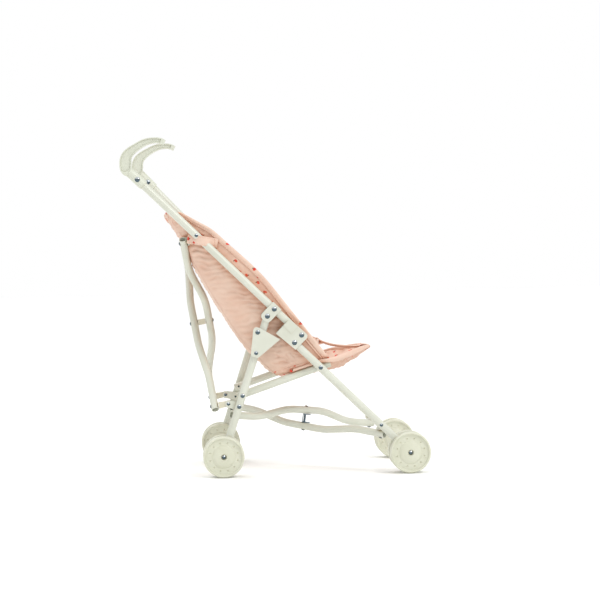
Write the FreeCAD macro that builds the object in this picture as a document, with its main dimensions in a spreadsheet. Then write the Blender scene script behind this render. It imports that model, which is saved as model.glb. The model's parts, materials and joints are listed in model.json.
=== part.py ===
import FreeCAD, Part
import math
import os

import Sketcher
from FreeCAD import Placement, Rotation, Vector

# A doll's umbrella-fold buggy. +Z is up, the front is -Y, and the origin is on the floor under the
# middle of the bounding box. Lengths are in millimetres. The two side frames are mirror images in the
# planes X = +-track / 2. The right frame is at -X.

doc = FreeCAD.newDocument("doll_stroller")
sheet = doc.addObject("Spreadsheet::Sheet", "Dimensions")

DRIVING = {
    "track": 220.0,            # distance between the two leg planes
    "tube_diameter": 12.0,
    "tube_wall": 1.0,
    "handle_angle": 44.5,      # handle tube and front leg, above the horizontal
    "rear_leg_angle": 18.36,   # rear leg, from the vertical
    "knee_y": -28.8,           # top rivet of the front leg
    "knee_z": 209.7,
    "hinge_offset": 16.5,      # front leg axis to handle tube axis
    "link_offset": 15.5,       # handle tube axis to the rear leg's top pivot
    "link_distance": 59.7,     # along the handle tube, from its lower hinge to the link bracket
    "seat_pivot_front": 57.4,  # along the front leg, from its top rivet to the seat rail
    "seat_pivot_rear_z": 127.5,
    "seat_rail_inset": 16.0,   # seat rail axis inside the leg plane
    "seat_rail_overhang": 17.5,
    "handle_length": 369.0,    # lower hinge to the top end inside the grip
    "grip_rivet_distance": 355.0,
    "left_handle_lean": 1.9,   # the left handle tube stands this much further forward
    "left_handle_short": 6.0,
    "wheel_diameter": 65.0,
    "wheel_width": 12.5,
    "wheel_offset": 13.5,      # wheel's middle plane from the leg plane
    "axle_diameter": 5.0,
    "rivet_diameter": 3.6,
    "rivet_head_diameter": 8.2,
    "rivet_head_height": 2.0,
    "pin_clearance": 0.05,
    "plate": 1.2,
    "plate_gap": 6.3,          # inner face of a bracket's plates from the tube axis
    "cross_inset": 16.0,       # ends of the cross tubes inside the leg plane
    "rear_cross_bottom_y": 98.5,
    "rear_cross_bottom_z": 110.6,
    "rear_cross_top_y": 142.7,
    "rear_cross_top_z": 369.9,
    "rear_cross_arm": 22.0,    # knuckle pivots to the plane of the tube ends
    "rear_cross_drop": 8.0,    # upper pivot above the tube's rivet
    "rear_cross_front_bulge": -17.5,
    "rear_cross_rear_bulge": 7.0,
    "lower_cross_rear_y": 66.0,
    "lower_cross_rear_z": 95.0,
    "lower_cross_front_y": -166.0,
    "lower_cross_front_z": 60.3,
    "lower_cross_top_bulge": 15.5,
    "lower_cross_bottom_bulge": -11.0,
    "front_pivot_distance": 62.6,  # front axle to the front bracket's rivet, along the leg
    "bracket_rivet_drop": 18.0,  # below the seat rail's pivot, along the rear leg
    "lever_pivot_drop": 60.6,  # below the rear leg's top rivet
    "grip_thickness": 13.0,
    "sleeve_diameter": 15.6,
    "sleeve_length": 31.0,
    "fabric": 2.0,
    "sling_half_width": 86.0,
}
for row, (alias, value) in enumerate(DRIVING.items(), start=1):
    sheet.set(f"A{row}", alias)
    sheet.set(f"B{row}", str(value))
    sheet.setAlias(f"B{row}", alias)
doc.recompute()


def size(alias):
    """A driving dimension as a plain number."""
    return float(sheet.get(alias))


RIGHT, LEFT = -1, 1
SIDE_NAMES = {RIGHT: "right", LEFT: "left"}
nodes = []


def in_plane(y, z, side, inset=0.0):
    """The point (y, z) in a leg plane, or inset mm inside it."""
    return Vector(side * (size("track") / 2 - inset), y, z)


def turned(length, degrees):
    """A vector in the Y-Z plane, from the +Y axis towards +Z."""
    angle = math.radians(degrees)
    return Vector(0, length * math.cos(angle), length * math.sin(angle))


def along(direction):
    """The rotation that lays local Z along a direction."""
    return Rotation(Vector(0, 0, 1), direction)


# --- the pivots of a side frame, in the Y-Z plane ---
HANDLE_DIRECTION = turned(1.0, size("handle_angle"))
HANDLE_NORMAL = turned(1.0, size("handle_angle") + 90)
KNEE = Vector(0, size("knee_y"), size("knee_z"))
HINGE = KNEE + HANDLE_NORMAL * size("hinge_offset")
LINK_ON_HANDLE = HINGE + HANDLE_DIRECTION * size("link_distance")
REAR_LEG_TOP = LINK_ON_HANDLE - HANDLE_NORMAL * size("link_offset")
LEG_DIRECTION = turned(1.0, 90 + size("rear_leg_angle"))
AXLE_HEIGHT = size("wheel_diameter") / 2
REAR_AXLE = REAR_LEG_TOP - LEG_DIRECTION * ((REAR_LEG_TOP.z - AXLE_HEIGHT) / LEG_DIRECTION.z)
SEAT_REAR = REAR_LEG_TOP - LEG_DIRECTION * (
    (REAR_LEG_TOP.z - size("seat_pivot_rear_z")) / LEG_DIRECTION.z)
SEAT_FRONT = KNEE - HANDLE_DIRECTION * size("seat_pivot_front")
FRONT_AXLE = KNEE - HANDLE_DIRECTION * ((KNEE.z - AXLE_HEIGHT) / HANDLE_DIRECTION.z)
CROSS_BOTTOM = Vector(0, size("rear_cross_bottom_y"), size("rear_cross_bottom_z"))
CROSS_TOP = Vector(0, size("rear_cross_top_y"), size("rear_cross_top_z"))
CROSS_RISE = (CROSS_TOP - CROSS_BOTTOM).normalize()
CROSS_NORMAL = Vector(0, CROSS_RISE.z, -CROSS_RISE.y)
KNUCKLE = CROSS_BOTTOM - CROSS_NORMAL * size("rear_cross_arm")
UPPER_PIVOT = CROSS_TOP + CROSS_RISE * size("rear_cross_drop") - CROSS_NORMAL * size("rear_cross_arm")
LOWER_REAR = Vector(0, size("lower_cross_rear_y"), size("lower_cross_rear_z"))
LOWER_FRONT = Vector(0, size("lower_cross_front_y"), size("lower_cross_front_z"))
LOWER_RUN = (LOWER_FRONT - LOWER_REAR).normalize()
LOWER_UP = Vector(0, LOWER_RUN.z, -LOWER_RUN.y)
FRONT_PIVOT = FRONT_AXLE + HANDLE_DIRECTION * size("front_pivot_distance")
BRACKET_RIVET = SEAT_REAR - LEG_DIRECTION * size("bracket_rivet_drop")
LEVER_PIVOT = REAR_LEG_TOP - LEG_DIRECTION * size("lever_pivot_drop")


# --- construction helpers ---
def keep(obj, label):
    """Names a finished sub-part."""
    obj.Label = label
    nodes.append(obj)
    return obj


def cylinder(name, radius, height, placement):
    """A cylinder whose sizes are expressions on the sheet."""
    obj = doc.addObject("Part::Cylinder", name)
    obj.setExpression("Radius", radius)
    obj.setExpression("Height", height)
    obj.Placement = placement
    return obj


def straight_tube(label, length, start, direction, pin_heights, cap=None):
    """A round tube from start along direction, drilled across X at each pin height.

    cap, if given, is the thickness of the closed far end."""
    outer = cylinder(label + "_outer", "Dimensions.tube_diameter / 2", f"{length} mm", Placement())
    bore_length = length - cap if cap else length
    bore = cylinder(label + "_bore", "Dimensions.tube_diameter / 2 - Dimensions.tube_wall",
                    f"{bore_length} mm", Placement())
    tools = [bore]
    for number, height in enumerate(pin_heights):
        across = Placement(Vector(-size("tube_diameter"), 0, height), Rotation(Vector(0, 1, 0), 90))
        tools.append(cylinder(f"{label}_pin_hole_{number}",
                              "Dimensions.rivet_diameter / 2 + Dimensions.pin_clearance",
                              "2 * Dimensions.tube_diameter", across))
    removed = doc.addObject("Part::MultiFuse", label + "_removed")
    removed.Shapes = tools
    tube = doc.addObject("Part::Cut", label + "_tube")
    tube.Base = outer
    tube.Tool = removed
    tube.Placement = Placement(start, along(direction))
    return keep(tube, label)


def origin_plane(body, role):
    return next(f for f in body.Origin.OriginFeatures if f.Role == role)


def closed_sketch(body, name, role, points):
    """A closed outline through the points on one of the body's origin planes."""
    sketch = body.newObject("Sketcher::SketchObject", name)
    sketch.AttachmentSupport = (origin_plane(body, role), [""])
    sketch.MapMode = "FlatFace"
    for first, second in zip(points, points[1:] + points[:1]):
        sketch.addGeometry(Part.LineSegment(Vector(*first, 0), Vector(*second, 0)), False)
    return sketch


def size_from_origin(sketch, axis, line, name, expression):
    """Binds the distance of a line's first point from the sketch's origin to the sheet."""
    point = sketch.Geometry[line].StartPoint
    value = abs(point.x if axis == "DistanceX" else point.y)
    positive = (point.x if axis == "DistanceX" else point.y) >= 0
    ends = (-1, 1, line, 1) if positive else (line, 1, -1, 1)
    number = sketch.addConstraint(Sketcher.Constraint(axis, *ends, value))
    sketch.renameConstraint(number, name)
    sketch.setExpression(f"Constraints.{name}", expression)


def turned_body(label, profile, bindings=()):
    """A body turned about local Z. profile is a list of (radius, height)."""
    body = doc.addObject("PartDesign::Body", label + "_body")
    sketch = closed_sketch(body, label + "_profile", "XZ_Plane", profile)
    for line, axis, name, expression in bindings:
        size_from_origin(sketch, axis, line, name, expression)
    turn = body.newObject("PartDesign::Revolution", label + "_turn")
    turn.Profile = sketch
    turn.ReferenceAxis = (sketch, ["V_Axis"])
    turn.Angle = 360
    body.Tip = turn
    return body


def prism(points, x_low, x_high):
    """A block with an outline in the Y-Z plane between two X positions."""
    corners = [Vector(x_low, p.y, p.z) for p in points]
    face = Part.Face(Part.makePolygon(corners + corners[:1]))
    return face.extrude(Vector(x_high - x_low, 0, 0))


def coded(label, shape, placement=None):
    """A sub-part whose shape is worked out in code from the sheet."""
    obj = doc.addObject("Part::Feature", label + "_shape")
    obj.Shape = shape
    if placement:
        obj.Placement = placement
    return keep(obj, label)


def rivet_head(point, direction, head=1.0):
    """A domed head seated at point and rising along direction."""
    head_radius = head * size("rivet_head_diameter") / 2
    rise = head * size("rivet_head_height")
    ball = (head_radius ** 2 + rise ** 2) / (2 * rise)
    dome = Part.makeSphere(ball, Vector(0, 0, rise - ball), Vector(1, 0, 0))
    dome = dome.common(Part.makeCylinder(head_radius, 2 * rise))
    dome.Placement = Placement(point, along(direction))
    return dome


def rivet(point, span_from, span_to, head=1.0):
    """A rivet across X through point, domed at both ends of its span."""
    out = Vector(1, 0, 0)
    solid = Part.makeCylinder(size("rivet_diameter") / 2, span_to - span_from,
                              point + out * span_from, out)
    solid = solid.fuse([rivet_head(point + out * span_to, out, head),
                        rivet_head(point + out * span_from, out * -1, head)])
    return solid.removeSplitter()


def through(point, radius=None, reach=40.0):
    """A drill across X through a point of a leg plane."""
    radius = radius or size("rivet_diameter") / 2 + size("pin_clearance")
    return Part.makeCylinder(radius, 2 * reach, point - Vector(reach, 0, 0), Vector(1, 0, 0))


# --- the bent cross tubes ---
def rounded_wire(points, radius):
    """Straight runs joined by tangent arcs of one radius."""
    edges = []
    here = points[0]
    for before, corner, after in zip(points, points[1:], points[2:]):
        inward = (before - corner).normalize()
        outward = (after - corner).normalize()
        half_turn = (math.pi - inward.getAngle(outward)) / 2
        cut = radius * math.tan(half_turn)
        start, end = corner + inward * cut, corner + outward * cut
        bisector = (inward + outward).normalize()
        middle = corner + bisector * (radius / math.cos(half_turn) - radius)
        edges.append(Part.LineSegment(here, start).toShape())
        edges.append(Part.Arc(start, middle, end).toShape())
        here = end
    edges.append(Part.LineSegment(here, points[-1]).toShape())
    return Part.Wire(edges)


BEND_SHARES = (0.17, 0.37, 0.63, 0.83)   # where the bends lie along a cross tube
TUBE_END = 7.0                           # tube beyond its end rivet
CROSS_BEND_RADIUS = 150.0


def cross_tube(label, first, last, normal, bulge):
    """A tube between two end rivets that bulges along normal in its middle stretch."""
    run = last - first
    way = Vector(run).normalize()
    offsets = (0.0, bulge, bulge, 0.0)
    points = [first - way * TUBE_END]
    points += [first + run * share + normal * off for share, off in zip(BEND_SHARES, offsets)]
    points += [last + way * TUBE_END]
    path = rounded_wire(points, CROSS_BEND_RADIUS)
    solids = []
    for radius in (size("tube_diameter") / 2, size("tube_diameter") / 2 - size("tube_wall")):
        ring = Part.Wire(Part.makeCircle(radius, points[0], way))
        sweep = path.makePipeShell([ring], True, False)
        solids.append(sweep)
    tube = solids[0].cut(solids[1])
    for point, off in ((first, 0), (last, 0), ((first + last) / 2, bulge)):
        drill = Part.makeCylinder(size("rivet_diameter") / 2 + size("pin_clearance"),
                                  4 * size("tube_diameter"),
                                  point + normal * (off - 2 * size("tube_diameter")), normal)
        tube = tube.cut(drill)
    return coded(label, tube)


# --- wheels ---
DIMPLE_CIRCLE_SHARE = 0.69   # dimple circle as a share of the wheel's radius
DIMPLE_COUNT = 12


def wheel(label, centre, outward):
    """A moulded wheel: rim lip, sunk face with a ring of dimples, domed middle, hub recess."""
    rim = size("wheel_diameter") / 2
    half = size("wheel_width") / 2
    bore = size("axle_diameter") / 2
    profile = [
        (rim, -half + 2.6), (rim, half - 2.6), (rim - 0.5, half - 1.3), (rim - 1.6, half - 0.5),
        (rim - 2.6, half - 0.4), (rim - 3.4, half - 1.2), (rim - 3.7, half - 3.4),
        (rim - 5.0, half - 4.0), (18.2, half - 4.0), (16.8, half - 2.9), (13.5, half - 1.6),
        (9.5, half - 0.7), (5.2, half - 0.2), (4.6, half - 0.6), (4.6, half - 3.0),
        (bore, half - 3.0), (bore, -half - 0.4), (6.0, -half - 0.4), (6.0, 0.2), (7.0, -0.5),
        (rim - 5.0, -0.5), (rim - 3.6, -1.6), (rim - 3.2, -half + 0.9), (rim - 2.4, -half + 0.2),
        (rim - 1.2, -half + 0.5), (rim - 0.3, -half + 1.4),
    ]
    body = turned_body(label, profile, [
        (0, "DistanceX", "outer_radius", "Dimensions.wheel_diameter / 2"),
        (15, "DistanceX", "bore_radius", "Dimensions.axle_diameter / 2"),
    ])
    dimple = body.newObject("PartDesign::SubtractiveCone", label + "_dimple")
    dimple.Radius1 = 0.5
    dimple.Radius2 = 1.7
    dimple.Height = 1.4
    step = math.radians(180 / DIMPLE_COUNT)
    reach = DIMPLE_CIRCLE_SHARE * rim
    dimple.Placement = Placement(
        Vector(reach * math.cos(step), reach * math.sin(step), half - 5.3), Rotation())
    ring = body.newObject("PartDesign::PolarPattern", label + "_dimples")
    ring.Originals = [dimple]
    ring.Axis = (origin_plane(body, "Z_Axis"), [""])
    ring.Angle = 360
    ring.Occurrences = DIMPLE_COUNT
    body.Tip = ring
    body.Placement = Placement(centre, along(outward))
    return keep(body, label)


def axle(label, centre):
    """A steel axle with a domed cap in each outer hub recess."""
    reach = size("wheel_offset") + size("wheel_width") / 2 - 3.0
    bar = size("axle_diameter") / 2
    cap = bar + 0.9
    profile = [(0, -reach - 2.4), (0.6, -reach - 2.4), (1.7, -reach - 2.1), (2.8, -reach - 1.4),
               (cap, -reach - 0.5), (cap, -reach), (bar, -reach), (bar, reach), (cap, reach),
               (cap, reach + 0.5), (2.8, reach + 1.4), (1.7, reach + 2.1), (0.6, reach + 2.4),
               (0, reach + 2.4)]
    body = turned_body(label, profile, [
        (6, "DistanceX", "shaft_radius", "Dimensions.axle_diameter / 2")])
    body.Placement = Placement(centre, along(Vector(1, 0, 0)))
    return keep(body, label)


def wheel_pair(name, centre, side):
    """An inner and an outer wheel on one axle through the end of a leg."""
    offset = size("wheel_offset")
    out = Vector(side, 0, 0)
    axle(f"{name}_axle", centre)
    wheel(f"{name}_outer_wheel", centre + out * offset, out)
    wheel(f"{name}_inner_wheel", centre - out * offset, out * -1)


# --- brackets ---
def rounded_plate(corners, radii, x_low, x_high):
    """A plate in the Y-Z plane whose corners are rounded by the given radii."""
    count = len(corners)
    edges = []
    ends = []
    for i, corner in enumerate(corners):
        before, after = corners[i - 1], corners[(i + 1) % count]
        inward = (before - corner).normalize()
        outward = (after - corner).normalize()
        half_turn = (math.pi - inward.getAngle(outward)) / 2
        cut = radii[i] * math.tan(half_turn)
        start, end = corner + inward * cut, corner + outward * cut
        ends.append((start, end))
        if radii[i]:
            bisector = (inward + outward).normalize()
            middle = corner + bisector * (radii[i] / math.cos(half_turn) - radii[i])
            edges.append(Part.Arc(start, middle, end).toShape())
    for (_, end), (start, _) in zip(ends, ends[1:] + ends[:1]):
        if end.distanceToPoint(start) > 1e-6:
            edges.append(Part.LineSegment(end, start).toShape())
    face = Part.Face(Part.Wire(Part.__sortEdges__(edges)))
    face.translate(Vector(x_low, 0, 0))
    return face.extrude(Vector(x_high - x_low, 0, 0))


def handle_axis(side):
    """The handle tube's base point, direction and forward normal."""
    lean = size("left_handle_lean") if side == LEFT else 0.0
    angle = size("handle_angle") + lean
    return HINGE, turned(1.0, angle), turned(1.0, angle + 90)


def on_handle(distance, offset):
    """A Y-Z point by its distance up the handle tube from its hinge and its offset in front."""
    return HINGE + HANDLE_DIRECTION * distance + HANDLE_NORMAL * offset


def mirrored(shape, side):
    """A shape modelled at X = 0 with +X outward, moved to a side frame."""
    if side == RIGHT:
        shape = shape.mirror(Vector(0, 0, 0), Vector(1, 0, 0))
    shape.translate(Vector(side * size("track") / 2, 0, 0))
    return shape


def latch_bracket(side):
    """The channel that holds the front leg's top and lets the handle tube swing out in front."""
    gap, plate = size("plate_gap"), size("plate")
    top, foot = on_handle(31.5, 5.2), on_handle(31.0, -26.2)
    outline = [on_handle(-9.5, 7.2), top, foot, on_handle(-9.0, -23.6)]
    radii = [6.0, 3.5, 1.0, 1.0]
    body = rounded_plate(outline, radii, gap, gap + plate)
    body = body.fuse(rounded_plate(outline, radii, -gap - plate, -gap))
    web = prism([on_handle(-9.0, -23.6), on_handle(9.0, -23.6), on_handle(9.0, -22.6),
                 on_handle(-9.0, -22.6)], -gap, gap)
    body = body.fuse(web)
    step = rounded_plate([on_handle(13.3, 6.0), top, on_handle(31.3, -9.3), on_handle(13.3, -9.5)],
                         [0.8, 3.5, 0.8, 0.8], gap + plate, gap + plate + 1.1)
    body = body.fuse(step)
    for pin in (HINGE, KNEE):
        body = body.cut(through(pin))
    coded(f"{SIDE_NAMES[side]}_latch_bracket", mirrored(body.removeSplitter(), side))


def link_bracket(side):
    """Two straps that join the handle tube to the top of the rear leg, with a web in front."""
    gap, plate = size("plate_gap"), size("plate")
    middle = size("link_distance")
    half = 9.0
    slope = math.tan(math.radians(size("left_handle_lean"))) if side == LEFT else 0.0
    top = 6.1 + plate + (middle + half) * slope
    foot = -size("link_offset")
    outline = [on_handle(middle + half, top), on_handle(middle + half, foot - half),
               on_handle(middle - half, foot - half), on_handle(middle - half, top)]
    radii = [0.8, half * 0.85, half * 0.85, 0.8]
    body = rounded_plate(outline, radii, gap, gap + plate)
    body = body.fuse(rounded_plate(outline, radii, -gap - plate, -gap))
    web = prism([on_handle(middle + half, top), on_handle(middle + half, top - plate),
                 on_handle(middle - half, top - plate), on_handle(middle - half, top)],
                -gap, gap)
    body = body.fuse(web)
    for pin in (LINK_ON_HANDLE + HANDLE_NORMAL * middle * slope, REAR_LEG_TOP):
        body = body.cut(through(pin))
    coded(f"{SIDE_NAMES[side]}_link_bracket", mirrored(body.removeSplitter(), side))


def lock_lever(side):
    """The triangular lock plate on the rear leg, with a web and a stop pin behind the leg."""
    inner = 9.9
    plate = size("plate")
    across = Vector(0, LEG_DIRECTION.z, -LEG_DIRECTION.y)

    def on_lever(up, back):
        return LEVER_PIVOT + LEG_DIRECTION * up + across * back

    outline = [on_lever(39.5, 16.4), on_lever(39.2, 5.0), on_lever(31.6, -29.8),
               on_lever(-6.5, -5.5), on_lever(-7.5, 6.6)]
    body = rounded_plate(outline, [5.5, 3.0, 0.8, 5.0, 4.5], inner, inner + plate)
    web = prism([on_lever(30.0, 8.4), on_lever(30.0, 9.6), on_lever(8.0, 9.6), on_lever(8.0, 8.4)],
                -4.0, inner)
    body = body.fuse(web).cut(through(LEVER_PIVOT))
    stop = on_lever(32.1, 7.3) + Vector(inner + plate, 0, 0)
    body = body.fuse(rivet_head(stop, Vector(1, 0, 0), 0.78))
    coded(f"{SIDE_NAMES[side]}_lock_lever", mirrored(body.removeSplitter(), side))


def rear_bracket(side):
    """A channel on the rear leg's inner side: two arms reach back to hold the knuckle."""
    out = -size("tube_diameter") / 2
    plate = size("plate")
    back = [BRACKET_RIVET + Vector(0, -5.5, -6.5), BRACKET_RIVET + Vector(0, -5.5, 6.5),
            KNUCKLE + Vector(0, 5.0, 5.5), KNUCKLE + Vector(0, 5.0, -5.5)]
    body = rounded_plate(back, [2.0, 2.0, 4.5, 4.5], out - plate, out - 0.05)
    body = body.fuse(rounded_plate(back, [2.0, 2.0, 4.5, 4.5], -18.0 - plate, -18.0))
    floor = prism([BRACKET_RIVET + Vector(0, -3.0, -6.4), BRACKET_RIVET + Vector(0, -3.0, -5.2),
                   BRACKET_RIVET + Vector(0, 6.0, -5.2), BRACKET_RIVET + Vector(0, 6.0, -6.4)],
                  -18.0 - plate, out - 0.05)
    ear = prism([BRACKET_RIVET + Vector(0, -5.0, -5.3), BRACKET_RIVET + Vector(0, 9.0, -5.3),
                 BRACKET_RIVET + Vector(0, 4.6, -8.8), BRACKET_RIVET + Vector(0, -2.6, -8.8)],
                -17.0, out - 3.0)
    body = body.fuse(floor).fuse(ear)
    for pin in (BRACKET_RIVET, KNUCKLE):
        body = body.cut(through(pin))
    coded(f"{SIDE_NAMES[side]}_rear_bracket", mirrored(body.removeSplitter(), side))


def knuckle(side):
    """A moulded block that turns about X at its pivot and carries a cross tube's end rivet."""
    inset = -size("cross_inset")
    reach = CROSS_NORMAL * (size("rear_cross_arm") - size("tube_diameter") / 2 - 0.4)
    end = KNUCKLE + reach
    hub = Part.makeCylinder(5.0, 10.0, KNUCKLE + Vector(-17.6, 0, 0), Vector(1, 0, 0))
    pad = Part.makeCylinder(5.4, 4.0, end - CROSS_NORMAL * 4.0 + Vector(inset + 3.3, 0, 0),
                            CROSS_NORMAL)
    stem = prism([KNUCKLE + CROSS_RISE * 4.4, KNUCKLE - CROSS_RISE * 4.4,
                  end - CROSS_NORMAL * 1.0 - CROSS_RISE * 4.8,
                  end - CROSS_NORMAL * 1.0 + CROSS_RISE * 4.8], -17.0, -7.8)
    body = hub.fuse([pad, stem]).cut(through(KNUCKLE))
    coded(f"{SIDE_NAMES[side]}_knuckle", mirrored(body.removeSplitter(), side))


def upper_pivot(side):
    """Where the upper bracket's rivet crosses the axis of this side's handle tube."""
    base, direction, _ = handle_axis(side)
    return base + direction * (UPPER_PIVOT - base).dot(direction)


def upper_bracket(side):
    """The hinged saddle between the handle tube and the top of a rear cross tube."""
    pivot = upper_pivot(side)
    plate = size("plate")
    reach = size("rear_cross_arm") - size("tube_diameter") / 2 - 0.5
    foot = CROSS_TOP - CROSS_NORMAL * (size("rear_cross_arm") - reach)
    cheek = [pivot + CROSS_RISE * 5.0 - CROSS_NORMAL * 5.0,
             foot + CROSS_RISE * 8.0, foot - CROSS_RISE * 5.5,
             pivot - CROSS_RISE * 6.0 - CROSS_NORMAL * 4.0]
    body = rounded_plate(cheek, [4.0, 0.8, 0.8, 4.0], -6.2 - plate, -6.2)
    base = prism([foot + CROSS_RISE * 8.0, foot - CROSS_RISE * 5.5,
                  foot - CROSS_RISE * 5.5 - CROSS_NORMAL * plate,
                  foot + CROSS_RISE * 8.0 - CROSS_NORMAL * plate], -20.0, -6.2)
    body = body.fuse(base).cut(through(pivot))
    coded(f"{SIDE_NAMES[side]}_upper_bracket", mirrored(body.removeSplitter(), side))


def front_bracket(side):
    """The hinged saddle on the front leg's inner side, above a lower cross tube's front end."""
    plate = size("plate")
    drop = size("tube_diameter") / 2 + 0.5
    foot = LOWER_FRONT + LOWER_UP * drop
    cheek = [FRONT_PIVOT + LOWER_UP * 5.0 + LOWER_RUN * 4.0,
             FRONT_PIVOT + LOWER_UP * 5.0 - LOWER_RUN * 5.0,
             foot - LOWER_RUN * 7.0, foot + LOWER_RUN * 5.5]
    body = rounded_plate(cheek, [4.0, 4.0, 0.8, 0.8], -6.2 - plate, -6.2)
    base = prism([foot - LOWER_RUN * 7.0, foot + LOWER_RUN * 5.5,
                  foot + LOWER_RUN * 5.5 + LOWER_UP * plate,
                  foot - LOWER_RUN * 7.0 + LOWER_UP * plate],
                 -20.0, -6.2)
    body = body.fuse(base).cut(through(FRONT_PIVOT))
    coded(f"{SIDE_NAMES[side]}_front_bracket", mirrored(body.removeSplitter(), side))


# --- handle grips ---
GRIP_RIM = 1.6       # width of the raised rim round the hook's face
RECESS_FOOT = 4.5    # the sunk face's rounded lower end, below its sides
GRIP_RECESS = 2.0    # depth of the sunk face
SLEEVE_BELOW = 13.5  # sleeve below the grip's rivet


def grip_outline(base, direction, normal, margin):
    """The hook's face: an outer and an inner edge that taper from the sleeve to the tip.

    Points are (distance up the tube, offset in front of its axis, half width)."""
    stations = [(29.0, 0.0, 7.8), (38.1, 0.1, 9.3), (44.2, 5.3, 9.5), (49.2, 11.8, 9.0),
                (51.6, 23.2, 7.4), (49.5, 36.1, 6.1), (45.5, 49.8, 5.4), (37.6, 61.8, 4.5),
                (28.9, 69.1, 4.3), (22.7, 71.2, 4.0)]
    points = [base + direction * up + normal * out for up, out, _ in stations]
    outer, inner = [], []
    for i, point in enumerate(points):
        ahead = points[min(i + 1, len(points) - 1)] - points[max(i - 1, 0)]
        across = Vector(0, ahead.z, -ahead.y).normalize()
        half = stations[i][2] - margin
        outer.append(point + across * half)
        inner.append(point - across * half)
    if margin:
        outer, inner = outer[1:-1], inner[1:-1]
    edges = []
    for edge_points in (outer, list(reversed(inner))):
        spline = Part.BSplineCurve()
        spline.interpolate(edge_points)
        edges.append(spline.toShape())
    edges.insert(1, Part.LineSegment(outer[-1], inner[-1]).toShape())
    foot = (inner[0] + outer[0]) * 0.5 - direction * (RECESS_FOOT if margin else 0.0)
    edges.append(Part.Arc(inner[0], foot, outer[0]).toShape() if margin
                 else Part.LineSegment(inner[0], outer[0]).toShape())
    return Part.Face(Part.Wire(edges))


def grip(side):
    """A hooked plastic grip: a sleeve over the tube and a flat tapering hook with sunk faces."""
    base, direction, normal = handle_axis(side)
    short = size("left_handle_short") if side == LEFT else 0.0
    start = base + direction * (size("grip_rivet_distance") - short - SLEEVE_BELOW)
    half = size("grip_thickness") / 2
    sleeve = Part.makeCylinder(size("sleeve_diameter") / 2, size("sleeve_length"), start, direction)
    hook = grip_outline(start, direction, normal, 0.0)
    hook.translate(Vector(-half, 0, 0))
    hook = hook.extrude(Vector(2 * half, 0, 0))
    body = sleeve.fuse(hook)
    for way in (1, -1):
        sunk = grip_outline(start, direction, normal, GRIP_RIM)
        sunk.translate(Vector(way * (half - GRIP_RECESS), 0, 0))
        body = body.cut(sunk.extrude(Vector(way * 2 * GRIP_RECESS, 0, 0)))
    length = size("handle_length") - short - (size("grip_rivet_distance") - short - SLEEVE_BELOW) + 0.2
    bore = Part.makeCylinder(size("tube_diameter") / 2 + 0.02, length, start, direction)
    body = body.cut(bore)
    body = body.cut(through(start + direction * SLEEVE_BELOW))
    coded(f"{SIDE_NAMES[side]}_grip", mirrored(body, side))


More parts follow.
